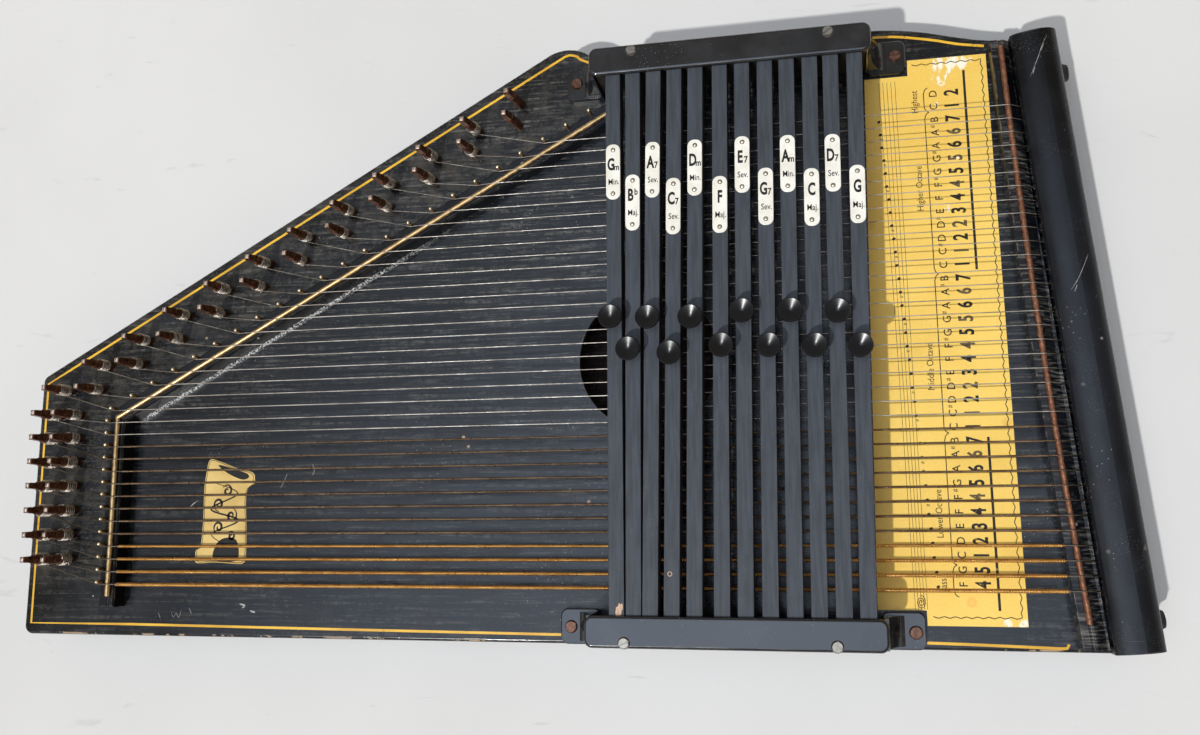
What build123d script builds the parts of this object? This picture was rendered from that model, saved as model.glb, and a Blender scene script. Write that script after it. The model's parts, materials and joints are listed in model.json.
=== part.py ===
from build123d import *
import math
import os

# Chorded zither lying on its back.  Plan axes: +X along the strings toward the hitch-pin end,
# +Y toward the treble side, +Z up.  Plan positions are measured from the bass corner of the
# tuning end; everything is moved to the centre of the footprint just before export.

# ---- sound box ----
BODY_LEN = 568.2          # along the bass edge
END_TOP_X = 542.0         # where the slanted end meets the treble edge
END_TOP_Y = 285.6
LEFT_H = 138.8            # height of the straight tuning end
APEX = (304.5, 303.8)     # highest point of the treble side
BODY_H = 32.0             # back panel + frame + soundboard
PANEL_T = 3.0
TOP = BODY_H              # soundboard surface
RAIL_W = 14.0             # bass and treble frame strips
HOLE_C = (344.5, 137.5)
HOLE_R = 35.0

# ---- strings ----
N_NOTES = 37
N_STRINGS = 35            # the two highest strings are not fitted
PITCH = 6.53
FIRST_Y = 27.2
N_BASS = 4                # copper-wound
N_WOUND = 8               # thin wound
WIRE_R = 1.3
WIRE_TOP = TOP + 12.0     # strings rest at this height on both bridges
CORE_R = 0.35

# ---- bridges ----
WIRE_X = 57.6             # straight part of the tuning-side bridge wire
WIRE_Y0 = 21.0
CORNER_Y = 115.0
SLANT = math.radians(28.7)
SLANT_END_X = 331.0
RAIL_H = 9.8
RAIL_OUT = 5.8            # rail beyond the wire, toward the tuning pins
RAIL_IN = 3.2             # rail on the string side of the wire
ROD = [(538.4, 4.0), (526.9, 118.0), (515.6, 281.0)]
ROD_Y0 = 13.2             # the rod stops short of both ends of its groove
ROD_Y1 = 278.7
RIDGE_Y0 = 2.0
RIDGE_Y1 = 282.4
RIDGE_LOW = 5.6           # height of the ridge's sloped side, where the strings run down to the hitch pins

# ---- pins ----
PIN_R = 2.4
PIN_UP = 20.0
PIN_DOWN = 18.0
PIN_LEAN = math.radians(8.0)
COIL_UP = 4.6             # coil distance up the pin from the soundboard
GUIDE_R = 0.9
GUIDE_OFF = 4.3           # guide nails stand this far behind the bridge wire

# ---- chord bars ----
N_BARS = 12
BAR_W = 7.2
BAR_H = 8.0
BAR_Z = TOP + 20.3        # underside of the wooden bar
FELT_T = 3.7
TRAVEL = 3.0
BAR_Y0 = 13.2             # shoulders of the full-width part
BAR_Y1 = 275.6
TONGUE_W = 3.2
TONGUE_L = 7.6
BAR_X_BASS = [333.1, 340.9, 348.5, 358.3, 368.6, 381.0, 391.5, 402.4, 413.1, 423.6, 434.2, 444.4]
BAR_X_TREBLE = [332.9, 342.8, 353.0, 363.2, 373.4, 385.1, 395.7, 406.5, 416.7, 427.5, 437.1, 448.1]
BUTTON_R = 5.7
BUTTON_H = 9.2
BUTTON_DISH = 1.9         # depth of the hollow for the fingertip
BUTTON_Y = [152.7, 137.3, 151.7, 134.7, 151.0, 137.3, 152.7, 136.4, 151.9, 135.5, 150.7, 134.7]
BUTTON_DX = [-0.5, -1.1, -0.8, -0.6, -1.2, 0.9, -0.2, 0.9, 0.3, 0.2, 0.3, -0.7]   # set by hand, off centre

# ---- bar holders (sizes at the soundboard; the walls draw in toward the top) ----
HOLDER_L = 137.4
HOLDER_W = 16.8
HOLDER_H = 30.2
HOLDER_DRAFT = 2.3        # degrees
HOLDER_WALL = 1.6
LOW_X0 = 316.8
LOW_Y0 = 0.2
HIGH_X0 = 319.8
HIGH_Y0 = 273.2
TAB_H = 3.2
TAB_REACH = 16.0          # tab edge beyond the cover
FLARE_R = 9.0             # hollow curve between the cover's end and its tab
TAB_SCREW_R = 3.1
SCREW_R = 2.8

# ---- end cover: a long moulding, square at both ends ----
COVER_LEFT = [(546.8, 0.4), (520.1, 283.4)]
COVER_W = 21.0
COVER_EDGE = 11.2         # height of its thin edge over the strings
COVER_H = 13.8
COVER_UNDER = 9.5         # clear height over the hitch pins
COVER_CAVITY = 11.5

NOTES = ("F G C D E F F# G A A# B C C# D D# E F F# G G# A A# B C C# D D# E F F# G G# A A# B C D").split()
CHORDS = [
    ("G", "A#", "D"), ("A#", "D", "F"), ("A", "C#", "E", "G"), ("C", "E", "G", "A#"),
    ("D", "F", "A"), ("F", "A", "C"), ("E", "G#", "B", "D"), ("G", "B", "D", "F"),
    ("A", "C", "E"), ("C", "E", "G"), ("D", "F#", "A", "C"), ("G", "B", "D"),
]

os.makedirs("parts", exist_ok=True)
parts = {}


def prism(points, z0, z1):
    """Upright prism over a polygon."""
    face = make_face(Polyline(*points, close=True))
    return Pos(0, 0, z0) * extrude(face, z1 - z0)


def box(x0, x1, y0, y1, z0, z1):
    return Pos((x0 + x1) / 2, (y0 + y1) / 2, (z0 + z1) / 2) * Box(x1 - x0, y1 - y0, z1 - z0)


def rod(p, q, r):
    """Round bar from p to q."""
    a = Vector(*p)
    d = Vector(*q) - a
    return Solid.make_cylinder(r, d.length, Plane(origin=a, z_dir=d))


def round_path(points, r):
    """Round bar along a bent line, with ball corners a hair thicker than the bar."""
    shape = rod(points[0], points[1], r)
    for a, b in zip(points[1:], points[2:]):
        shape = shape + rod(a, b, r) + Pos(*a) * Sphere(r + 0.004)
    return shape


def wire_x(y):
    """Plan X of the tuning-side bridge wire at a given Y."""
    if y <= CORNER_Y:
        return WIRE_X
    return WIRE_X + (y - CORNER_Y) / math.tan(SLANT)


def arc_centre(points):
    """Centre and radius of the circle through three plan points."""
    (x0, y0), (x1, y1), (x2, y2) = points
    a = x1 - x0
    b = y1 - y0
    c = x2 - x0
    d = y2 - y0
    e = (a * (x0 + x1) + b * (y0 + y1)) / 2
    f = (c * (x0 + x2) + d * (y0 + y2)) / 2
    g = a * d - b * c
    cx = (d * e - b * f) / g
    cy = (a * f - c * e) / g
    return cx, cy, math.hypot(x0 - cx, y0 - cy)


def rod_x(y):
    """Plan X of the hitch-side bridge rod, a shallow arc."""
    cx, cy, r = arc_centre(ROD)
    reach = math.sqrt(r * r - (y - cy) ** 2)
    return cx - reach if cx > ROD[1][0] else cx + reach


def string_y(i):
    return FIRST_Y + PITCH * i


# ---- outline of the sound box ----
slant_y0 = LEFT_H + 0.8
slant_tan = 0.5525
apex_in = (291.0, slant_y0 + slant_tan * 291.0)
apex_out = (314.3, 300.2)


def outline_face():
    bass = Line((0, 0), (BODY_LEN, 0))
    end = Line((BODY_LEN, 0), (END_TOP_X, END_TOP_Y))
    treble = Spline(
        (END_TOP_X, END_TOP_Y), (523.0, 286.3), (505.0, 288.9), (484.0, 294.4), (457.0, 298.2),
        (425.0, 296.0), (385.0, 293.2), (345.0, 294.6), apex_out,
        tangents=((-1, 0.0), (-0.9, 0.43)),
    )
    top = ThreePointArc(apex_out, APEX, apex_in)
    slant = Line(apex_in, (0.8, slant_y0))
    left = Line((0.8, slant_y0), (0, 0))
    return make_face([bass, end, treble, top, slant, left])


face = outline_face()
corners = face.vertices().filter_by(lambda v: v.X < 2 or v.Y < 1)
face = fillet(corners, 4.5)


def slab(z0, z1):
    return Pos(0, 0, z0) * extrude(face, z1 - z0)


back_panel = slab(0, PANEL_T)
back_panel = chamfer(back_panel.faces().sort_by(Axis.Z)[0].outer_wire().edges(), 0.8)
parts["back_panel"] = back_panel

soundboard = slab(TOP - PANEL_T, TOP)
soundboard = fillet(soundboard.faces().sort_by(Axis.Z)[-1].outer_wire().edges(), 1.6)
soundboard = soundboard - Pos(HOLE_C[0], HOLE_C[1], TOP) * Cylinder(HOLE_R, 4 * PANEL_T)
parts["soundboard"] = soundboard

# ---- frame inside the box ----
Z0 = PANEL_T
Z1 = TOP - PANEL_T
core = slab(Z0, Z1)
band = 44.0
pin_zone = prism(
    [(-5, -5), (56, -5), (56, 112), (318, 112 + 262 * slant_tan), (318, 330), (-5, 330)], Z0, Z1)
anchor_zone = prism([(536, -5), (580, -5), (580, 330), (508, 330), (508, 290)], Z0, Z1)
pin_block = core & pin_zone
parts["pin_block"] = pin_block
anchor_block = core & anchor_zone
parts["anchor_block"] = anchor_block
rest = core - pin_zone - anchor_zone
bass_rail = rest & box(50, 545, -1, RAIL_W, Z0, Z1)
parts["bass_rail"] = bass_rail
treble_rail = (rest - Pos(0, -RAIL_W, 0) * core) & box(300, 545, 240, 320, Z0, Z1)
parts["treble_rail"] = treble_rail

# ---- tuning-side bridge: black rail with a steel wire laid in its groove ----
sx = math.cos(SLANT)
sy = math.sin(SLANT)
nx = -sy
ny = sx
corner = (WIRE_X, CORNER_Y)
slant_end = (SLANT_END_X, CORNER_Y + (SLANT_END_X - WIRE_X) * math.tan(SLANT))


def mitre(off):
    """Corner of the line that runs beside the wire at a signed distance."""
    x = WIRE_X - off
    t = (x - corner[0] - off * nx) / sx
    return (x, corner[1] + off * ny + t * sy)


rail_end_out = (slant_end[0] + RAIL_OUT * nx, slant_end[1] + RAIL_OUT * ny)
rail_end_in = (slant_end[0] - RAIL_IN * nx, slant_end[1] - RAIL_IN * ny)
rail_pts = [
    (WIRE_X - RAIL_OUT, 15.3), (WIRE_X + RAIL_IN, 15.3), mitre(-RAIL_IN), rail_end_in,
    rail_end_out, mitre(RAIL_OUT),
]
wire_z = WIRE_TOP - WIRE_R
wire_pts = [
    (WIRE_X, WIRE_Y0, wire_z), (WIRE_X, CORNER_Y, wire_z),
    (slant_end[0] - 1.5, slant_end[1] - 1.5 * math.tan(SLANT), wire_z),
]
left_wire = round_path(wire_pts, WIRE_R)
left_rail = prism(rail_pts, TOP, TOP + RAIL_H)
left_rail = chamfer(left_rail.faces().sort_by(Axis.Z)[-1].edges(), 0.9)
groove_end = (slant_end[0] + 2, slant_end[1] + 2 * math.tan(SLANT), wire_z)
groove_pts = [(WIRE_X, 14.0, wire_z), wire_pts[1], groove_end]
left_rail = left_rail - round_path(groove_pts, WIRE_R + 0.02)
parts["left_bridge_rail"] = left_rail
parts["left_bridge_wire"] = left_wire

# ---- hitch-side bridge: low ridge with a rod on top ----
rod_z = WIRE_TOP - WIRE_R


def bridge_arc(y0, y1, dx, z):
    """Part of the bridge arc between two Y values, moved sideways by dx."""
    pts = [Vector(rod_x(y) + dx, y, z) for y in (y0, (y0 + y1) / 2, y1)]
    return ThreePointArc(*pts)


def cover_left_x(y):
    """Plan X of the end cover's string-side edge."""
    (x0, y0), (x1, y1) = COVER_LEFT
    return x0 + (x1 - x0) * (y - y0) / (y1 - y0)


ridge_left = bridge_arc(RIDGE_Y0, RIDGE_Y1, -4.2, 0)
ridge_top_end = (cover_left_x(RIDGE_Y1) - 0.8, RIDGE_Y1)
ridge_low_end = (cover_left_x(RIDGE_Y0) - 0.8, RIDGE_Y0)
ridge_face = make_face([
    ridge_left, Line(ridge_left @ 1, ridge_top_end), Line(ridge_top_end, ridge_low_end),
    Line(ridge_low_end, ridge_left @ 0),
])
right_rail = Pos(0, 0, TOP) * extrude(ridge_face, RAIL_H)
slope_path = bridge_arc(RIDGE_Y0 - 1, RIDGE_Y1 + 1, 0, TOP)
slope_plane = Plane(origin=slope_path @ 0, x_dir=(1, 0, 0), z_dir=slope_path % 0)
slope_line = Polyline(
    (1.5, RAIL_H + 0.2), (1.5, RAIL_H), (6.4, RIDGE_LOW), (14.0, RIDGE_LOW), (14.0, RAIL_H + 0.2), close=True)
slope_face = make_face(slope_line)
slope_side = -1 if slope_plane.y_dir.Z < 0 else 1
slope_cut = sweep(slope_plane * scale(slope_face, (1, slope_side, 1)), path=slope_path)
right_rail = right_rail - slope_cut
rod_path = bridge_arc(ROD_Y0, ROD_Y1, 0, rod_z)
rod_plane = Plane(origin=rod_path @ 0, z_dir=rod_path % 0)
right_rod = sweep(rod_plane * Circle(WIRE_R), path=rod_path)
groove_path = bridge_arc(RIDGE_Y0 - 1, RIDGE_Y1 + 1, 0, rod_z)
groove_plane = Plane(origin=groove_path @ 0, z_dir=groove_path % 0)
right_rail = right_rail - sweep(groove_plane * Circle(WIRE_R + 0.02), path=groove_path)
parts["right_bridge_rail"] = right_rail
parts["right_bridge_rod"] = right_rod

# ---- tuning pins: two per string pitch step, in an outer and an inner row ----
pin_dir = Vector(-math.sin(PIN_LEAN), 0, math.cos(PIN_LEAN))


def pin_base(i):
    """Plan position of the pin that holds string i."""
    if i < 14:
        row = i // 2
        y = 39.9 + 13.0 * row
        return (14.3, y) if i % 2 == 0 else (26.6, y)
    k = (i - 14) // 2
    if i % 2 == 0:
        return (19.8 + 23.5 * k, 131.5 + 13.1 * k)
    return (39.6 + 23.75 * k, 131.5 + 13.25 * k)


def tuning_pin(i):
    bx, by = pin_base(i)
    foot = Vector(bx, by, TOP) - pin_dir * PIN_DOWN
    plane = Plane(origin=foot, x_dir=(0, 1, 0), z_dir=pin_dir)
    shank_len = PIN_DOWN + 13.0
    shank = Solid.make_cylinder(PIN_R, shank_len, plane)
    head_plane = Plane(origin=foot + pin_dir * shank_len, x_dir=(0, 1, 0), z_dir=pin_dir)
    head = head_plane * extrude(Rectangle(3.6, 3.6), PIN_UP - 13.0, taper=3)
    head = fillet(head.faces().sort_by(Axis.Z)[-1].edges(), 1.2)
    return shank + head


parts["tuning_pins"] = Compound([tuning_pin(i) for i in range(N_NOTES)])


def core_r(i):
    if i < N_BASS + N_WOUND:
        return CORE_R - 0.008 * i
    return 0.26 - 0.002 * (i - N_BASS - N_WOUND)


def wound_r(i):
    if i < N_BASS:
        return 0.95 - 0.06 * i
    return 0.62 - 0.02 * (i - N_BASS)


# ---- guide nails behind the wire ----
def guide_xy(i):
    y = string_y(i)
    back = GUIDE_OFF / math.sin(SLANT) if y > CORNER_Y + 2 else GUIDE_OFF
    return (wire_x(y) - back, y + GUIDE_R + core_r(i) + 0.04)


def guide_pin(i):
    gx, gy = guide_xy(i)
    body = rod((gx, gy, TOP + 4.0), (gx, gy, TOP + 14.0), GUIDE_R)
    return body + Pos(gx, gy, TOP + 14.0) * Sphere(GUIDE_R)


parts["guide_pins"] = Compound([guide_pin(i) for i in range(N_NOTES)])


# ---- hitch pins under the end cover ----
def hitch_x(y):
    return cover_left_x(y) + 8.0


def hitch_pin(i):
    y = string_y(i)
    x = hitch_x(y)
    body = rod((x, y, TOP - 2.5), (x, y, TOP + 5.4), 0.9)
    return body + rod((x, y, TOP + 5.4), (x, y, TOP + 6.4), 1.7)


parts["hitch_pins"] = Compound([hitch_pin(i) for i in range(N_NOTES)])


# ---- strings ----
def string_solid(i):
    y = string_y(i)
    r = core_r(i)
    z = WIRE_TOP + r + 0.01
    gx = guide_xy(i)[0]
    bx, by = pin_base(i)
    coil = Vector(bx, by, TOP) + pin_dir * COIL_UP
    dx = coil.X - gx
    dy = coil.Y - y
    length = math.hypot(dx, dy)
    side = Vector(-dy / length, dx / length, 0) * (PIN_R + r + 0.02)
    if side.Y > 0:
        side = side * -1
    end = coil + side
    hook = (hitch_x(y) - 0.9 - r - 0.02, y, TOP + 3.6)
    rx = rod_x(y)
    wx = wire_x(y)
    fall = math.atan((z - hook[2]) / (hook[0] - rx))
    rx = rx + (WIRE_R + r) * math.tan(fall / 2)
    dip = math.atan((z - end.Z) / (wx - end.X))
    wx = wx - (WIRE_R + r) * math.tan(dip / 2)
    turn = math.asin(abs(end.Y - y) / length)
    gx = gx - (GUIDE_R + r + 0.04) * math.tan(turn / 2)
    gz = z - (z - end.Z) * (wx - gx) / (wx - end.X)
    pts = [hook, (rx, y, z), (wx, y, z), (gx, y, gz), (end.X, end.Y, end.Z)]
    shape = round_path(pts, r)
    loop_plane = Plane(origin=(hook[0] + 0.9 + r + 0.02, y, hook[2]), z_dir=(0, 0, 1))
    loop = loop_plane * Torus(0.9 + r + 0.02, r)
    turns = 3.0 * 2 * r
    coil_plane = Plane(origin=coil - pin_dir * turns * 0.5, z_dir=pin_dir)
    outer = Solid.make_cylinder(PIN_R + 0.02 + 2 * r, turns, coil_plane)
    inner = Solid.make_cylinder(PIN_R + 0.02, turns, coil_plane)
    shape = shape + loop + (outer - inner)
    if i < N_BASS + N_WOUND:
        shape = shape + rod((wx + 6.0, y, z), (rod_x(y) - 6.0, y, z), wound_r(i))
    return shape


def string_group(first, last):
    group = []
    for i in range(first, last):
        solids = string_solid(i).solids()
        group.append(solids[0] if len(solids) == 1 else Solid.fuse(*solids))
    return Compound(group)


parts["strings_bass"] = string_group(0, N_BASS)
parts["strings_wound"] = string_group(N_BASS, N_BASS + N_WOUND)
parts["strings_plain"] = string_group(N_BASS + N_WOUND, N_STRINGS)

# ---- printed note chart glued to the soundboard ----
chart_pts = [(449.2, 10.8), (514.0, 10.8), (510.5, 280.3), (453.6, 280.3)]
chart = prism(chart_pts, TOP + 0.01, TOP + 0.26)
chart = chart - box(440, 470.9, 0, 17.6, TOP - 1, TOP + 1) - box(440, 473.9, 272.4, 300, TOP - 1, TOP + 1)
parts["note_chart"] = chart

# ---- end cover over the hitch pins ----
cover_dir = Vector(COVER_LEFT[1][0] - COVER_LEFT[0][0], COVER_LEFT[1][1] - COVER_LEFT[0][1], 0)
cover_len = cover_dir.length
cover_plane = Plane(
    origin=(COVER_LEFT[0][0], COVER_LEFT[0][1], TOP), x_dir=(cover_dir.Y, -cover_dir.X, 0), z_dir=-cover_dir)
cover_section = make_face([
    Line((0, 0), (COVER_W, 0)),
    Line((COVER_W, 0), (COVER_W, 7.0)),
    Spline((COVER_W, 7.0), (COVER_W - 1.9, 11.4), (12.0, COVER_H),
           tangents=((0, 1), (-1, 0.02))),
    Spline((12.0, COVER_H), (5.5, COVER_H - 0.8), (0.8, COVER_EDGE),
           tangents=((-1, 0.02), (-0.85, -0.5))),
    Line((0.8, COVER_EDGE), (0, COVER_EDGE - 0.9)),
    Line((0, COVER_EDGE - 0.9), (0, 0)),
])
cavity_section = Pos(COVER_CAVITY / 2 - 3, COVER_UNDER / 2 - 1) * Rectangle(COVER_CAVITY + 6, COVER_UNDER + 2)
cover = extrude(cover_plane * cover_section, -cover_len)
cavity = extrude(cover_plane.offset(-3.0) * cavity_section, -(cover_len - 6.0))
cover = cover - cavity
parts["end_cover"] = cover
end_tan = (BODY_LEN - END_TOP_X) / END_TOP_Y

# ---- bumper feet on the hitch end ----
end_angle = math.degrees(math.atan(end_tan))


def end_foot(y):
    x = BODY_LEN - end_tan * y
    normal = Vector(math.cos(math.radians(end_angle)), math.sin(math.radians(end_angle)), 0)
    start = Vector(x, y, 19.5)
    base = Solid.make_cylinder(5.0, 3.0, Plane(origin=start, z_dir=normal))
    dome_plane = Plane(origin=start + normal * 3.0, z_dir=normal)
    dome = dome_plane * extrude(Circle(5.0), 2.92, taper=22)
    return base + dome


parts["end_feet"] = Compound([end_foot(13.5), end_foot(271.7)])


# ---- chord bars ----
def bar_line(k):
    """Plan points where bar k enters the bass and the treble holder."""
    return (BAR_X_BASS[k], BAR_Y0), (BAR_X_TREBLE[k], BAR_Y1)


def bar_frame(k):
    """Centre and yaw of bar k, and its full-width length."""
    (x0, y0), (x1, y1) = bar_line(k)
    yaw = math.degrees(math.atan2(y1 - y0, x1 - x0)) - 90
    length = math.hypot(x1 - x0, y1 - y0)
    return Pos((x0 + x1) / 2, (y0 + y1) / 2, 0) * Rot(0, 0, yaw), length


def bar_x_at(k, y):
    (x0, y0), (x1, y1) = bar_line(k)
    return x0 + (x1 - x0) * (y - y0) / (y1 - y0)


def chord_bar(k):
    place, length = bar_frame(k)
    body = Pos(0, 0, BAR_Z + BAR_H / 2) * Box(BAR_W, length - 0.4, BAR_H)
    body = chamfer(body.edges().filter_by(Axis.Y).group_by(Axis.Z)[-1], 0.2)
    tongue = Pos(0, 0, BAR_Z + BAR_H / 2) * Box(TONGUE_W, length + 2 * TONGUE_L, BAR_H)
    return place * (body + tongue)


def felt_pads(k):
    """One pad under each run of strings that the chord silences."""
    place, length = bar_frame(k)
    mid_y = (BAR_Y0 + BAR_Y1) / 2
    pads = []
    start = None
    for i in range(N_NOTES + 1):
        muted = i < N_NOTES and NOTES[i] not in CHORDS[k]
        if muted and start is None:
            start = i
        if not muted and start is not None:
            y0 = string_y(start) - 0.44 * PITCH - mid_y
            y1 = string_y(i - 1) + 0.44 * PITCH - mid_y
            block = Pos(0, (y0 + y1) / 2, BAR_Z - FELT_T / 2) * Box(BAR_W - 0.8, y1 - y0, FELT_T)
            pads.append(place * block)
            start = None
    return Compound(pads)


def button(k):
    y = BUTTON_Y[k]
    z = BAR_Z + BAR_H
    profile = make_face([
        Line((0, 0), (2.4, 0)),
        Spline((2.4, 0), (2.5, 3.0), (BUTTON_R - 0.3, BUTTON_H - 1.9), tangents=((-0.1, 1), (1, 0.6))),
        ThreePointArc(
            (BUTTON_R - 0.3, BUTTON_H - 1.9), (BUTTON_R, BUTTON_H - 0.9), (BUTTON_R - 0.5, BUTTON_H)),
        Spline((BUTTON_R - 0.5, BUTTON_H), (2.4, BUTTON_H - 1.15), (0, BUTTON_H - BUTTON_DISH),
               tangents=((-1, -0.4), (-1, -0.12))),
        Line((0, BUTTON_H - BUTTON_DISH), (0, 0)),
    ])
    knob = revolve(Plane.XZ * profile, Axis.Z)
    return Pos(bar_x_at(k, y) + BUTTON_DX[k], y, z) * knob


for k in range(N_BARS):
    tag = f"{k + 1:02d}"
    parts["chord_bar_" + tag] = chord_bar(k)
    parts["felt_" + tag] = felt_pads(k)
    parts["button_" + tag] = button(k)


# ---- bar holders: a slotted comb under a glossy moulded cover with screw tabs ----
def comb(x0, y0, y1, slots_y0, slots_y1):
    block = box(x0 + 3.4, x0 + HOLDER_L - 3.4, y0, y1, TOP, TOP + HOLDER_H - HOLDER_WALL)
    for k in range(N_BARS):
        place, length = bar_frame(k)
        slot = place * Pos(0, 0, BAR_Z + 4) * Box(TONGUE_W + 0.8, length + 60, BAR_H + 2 * TRAVEL + 12)
        block = block - (slot & box(x0, x0 + HOLDER_L, slots_y0, slots_y1, TOP, TOP + 60))
    return block


def tab(x_wall, y0, way):
    """Flat screw tab at one end of a cover, with a hollow flare up to the end wall."""
    x_tip = x_wall + way * TAB_REACH
    x_in = x_wall - way * 4.0
    ear = RectangleRounded(abs(x_tip - x_in), HOLDER_W, 3.6)
    plate = Pos((x_tip + x_in) / 2, y0 + HOLDER_W / 2) * ear
    plate = Pos(0, 0, TOP) * extrude(plate, TAB_H)
    plate = chamfer(plate.faces().sort_by(Axis.Z)[-1].outer_wire().edges(), 0.6)
    foot = x_wall + way * (FLARE_R - 1.2)
    top = x_wall - way * 1.2
    z_low = TOP + TAB_H - 0.4
    z_high = TOP + HOLDER_H - 6.0
    mid = (x_wall + way * 1.6, TOP + TAB_H + 5.6)
    inner = x_wall - way * 3.0
    flare_face = make_face([
        Line((inner, z_low), (foot, z_low)),
        Spline((foot, z_low), mid, (top, z_high), tangents=((-way, 0.25), (-way * 0.02, 1))),
        Line((top, z_high), (inner, z_high)),
        Line((inner, z_high), (inner, z_low)),
    ])
    flare = extrude(Plane.XZ * flare_face, -(HOLDER_W - 3.2))
    return plate + Pos(0, y0 + 1.6, 0) * flare


def holder(x0, y0, open_side):
    """Cover with a closed outer side and ends, open toward the middle of the bars."""
    base = Pos(x0 + HOLDER_L / 2, y0 + HOLDER_W / 2) * RectangleRounded(HOLDER_L, HOLDER_W, 5.2)
    shell = Pos(0, 0, TOP) * extrude(base, HOLDER_H, taper=HOLDER_DRAFT)
    shell = fillet(shell.faces().sort_by(Axis.Z)[-1].outer_wire().edges(), 1.5)
    shell = shell + tab(x0, y0, -1) + tab(x0 + HOLDER_L, y0, 1)
    inner_y0 = y0 + 3.1 if open_side > 0 else y0 - 2
    inner_y1 = y0 + HOLDER_W + 2 if open_side > 0 else y0 + HOLDER_W - 3.1
    ceiling = TOP + HOLDER_H - HOLDER_WALL
    return shell - box(x0 + 3.2, x0 + HOLDER_L - 3.2, inner_y0, inner_y1, TOP - 1, ceiling)


parts["bass_comb"] = comb(LOW_X0, LOW_Y0 + 3.3, BAR_Y0 - 0.6, 5.0, 20)
parts["treble_comb"] = comb(HIGH_X0, BAR_Y1 + 0.6, HIGH_Y0 + HOLDER_W - 3.3, 260, 284.0)
parts["bass_holder"] = holder(LOW_X0, LOW_Y0, 1)
parts["treble_holder"] = holder(HIGH_X0, HIGH_Y0, -1)


def screw(x, y, z, radius, length, turn):
    """Slotted dome-head wood screw standing on a surface at height z."""
    head = Pos(x, y, z) * extrude(Circle(radius), 1.3, taper=25)
    slot = Pos(x, y, z + 1.3) * Rot(0, 0, turn) * Box(2 * radius, 0.7, 1.2)
    return head - slot + rod((x, y, z + 0.2), (x, y, z - length), 1.1)


screws = []
TAB_SCREWS = [(306.0, 8.4), (465.6, 8.0), (309.2, 282.6), (468.2, 282.0)]
TOP_SCREWS = [(336.8, 3.9), (430.8, 3.9), (342.4, 285.4), (436.4, 285.2)]
for n, (sx0, sy0) in enumerate(TAB_SCREWS):
    screws.append(screw(sx0, sy0, TOP + TAB_H, TAB_SCREW_R, 5.6, 35 + 50 * n))
for n, (sx0, sy0) in enumerate(TOP_SCREWS):
    screws.append(screw(sx0, sy0, TOP + HOLDER_H, SCREW_R, 5.4, 20 + 65 * n))
parts["holder_screws"] = Compound(screws)

# ---- centre the footprint on the origin and write every node ----
low = Vector(1e9, 1e9, 1e9)
high = Vector(-1e9, -1e9, -1e9)
for shape in parts.values():
    bb = shape.bounding_box()
    low = Vector(min(low.X, bb.min.X), min(low.Y, bb.min.Y), min(low.Z, bb.min.Z))
    high = Vector(max(high.X, bb.max.X), max(high.Y, bb.max.Y), max(high.Z, bb.max.Z))
centre = Pos(-(low.X + high.X) / 2, -(low.Y + high.Y) / 2, -low.Z)
for name, shape in parts.items():
    export_step(centre * shape, f"parts/{name}.step")
print(len(parts), "nodes", low, high)
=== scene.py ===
import json
import math
import random

import bmesh
import bpy
from mathutils import Matrix, Vector


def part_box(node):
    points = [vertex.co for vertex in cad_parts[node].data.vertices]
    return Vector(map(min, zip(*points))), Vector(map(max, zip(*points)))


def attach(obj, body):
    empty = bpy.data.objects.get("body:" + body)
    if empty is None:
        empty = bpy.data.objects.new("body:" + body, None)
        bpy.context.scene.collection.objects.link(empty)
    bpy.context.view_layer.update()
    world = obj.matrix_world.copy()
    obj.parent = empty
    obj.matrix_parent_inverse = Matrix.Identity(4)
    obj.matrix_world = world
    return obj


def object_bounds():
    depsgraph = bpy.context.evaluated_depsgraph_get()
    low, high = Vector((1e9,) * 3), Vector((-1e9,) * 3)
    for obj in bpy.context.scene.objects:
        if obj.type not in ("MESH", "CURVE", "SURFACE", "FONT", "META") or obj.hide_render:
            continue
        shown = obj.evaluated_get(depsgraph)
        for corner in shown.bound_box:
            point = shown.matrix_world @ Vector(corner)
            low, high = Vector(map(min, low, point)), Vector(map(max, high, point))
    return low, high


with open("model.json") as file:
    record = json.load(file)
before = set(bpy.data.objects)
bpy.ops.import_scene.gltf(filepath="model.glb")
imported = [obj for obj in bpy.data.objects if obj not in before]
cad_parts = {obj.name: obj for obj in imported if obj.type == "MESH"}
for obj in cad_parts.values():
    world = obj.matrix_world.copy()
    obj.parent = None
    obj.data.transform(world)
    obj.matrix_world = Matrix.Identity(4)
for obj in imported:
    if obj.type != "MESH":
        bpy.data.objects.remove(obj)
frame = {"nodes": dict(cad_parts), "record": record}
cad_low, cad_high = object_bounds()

MM = 0.001
NODES = frame["nodes"]
SLANT = math.radians(28.7)   # the slanted part of the tuning-side bridge
WIRE_X = 57.6                # plan X of the straight bridge wire
CORNER_Y = 115.0             # plan Y where the slanted part starts
ROOT = "sound_box"
N_BARS = 12
N_STRINGS = 35
N_WOUND = 12                 # strings with a winding, at the bass side
BARS = [f"{k:02d}" for k in range(1, N_BARS + 1)]

# ---- plan frame: millimetres from the bass corner of the tuning end, as the part is laid out ----
LEFT_END = 0.026             # plan X of the part's left end
PLAN_X = LEFT_END - cad_low[0] / MM
PLAN_Y = -cad_low[1] / MM
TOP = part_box("soundboard")[1][2] / MM
CHART_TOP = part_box("note_chart")[1][2] / MM
BAR_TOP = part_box("chord_bar_01")[1][2] / MM
PITCH = 6.53                 # from string to string
FIRST_Y = 27.2
GAP = 0.01                   # printed and painted layers lie this far over their surface
THICK_INK = 0.03             # heights of printed and painted lines
THIN_INK = 0.02


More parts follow.
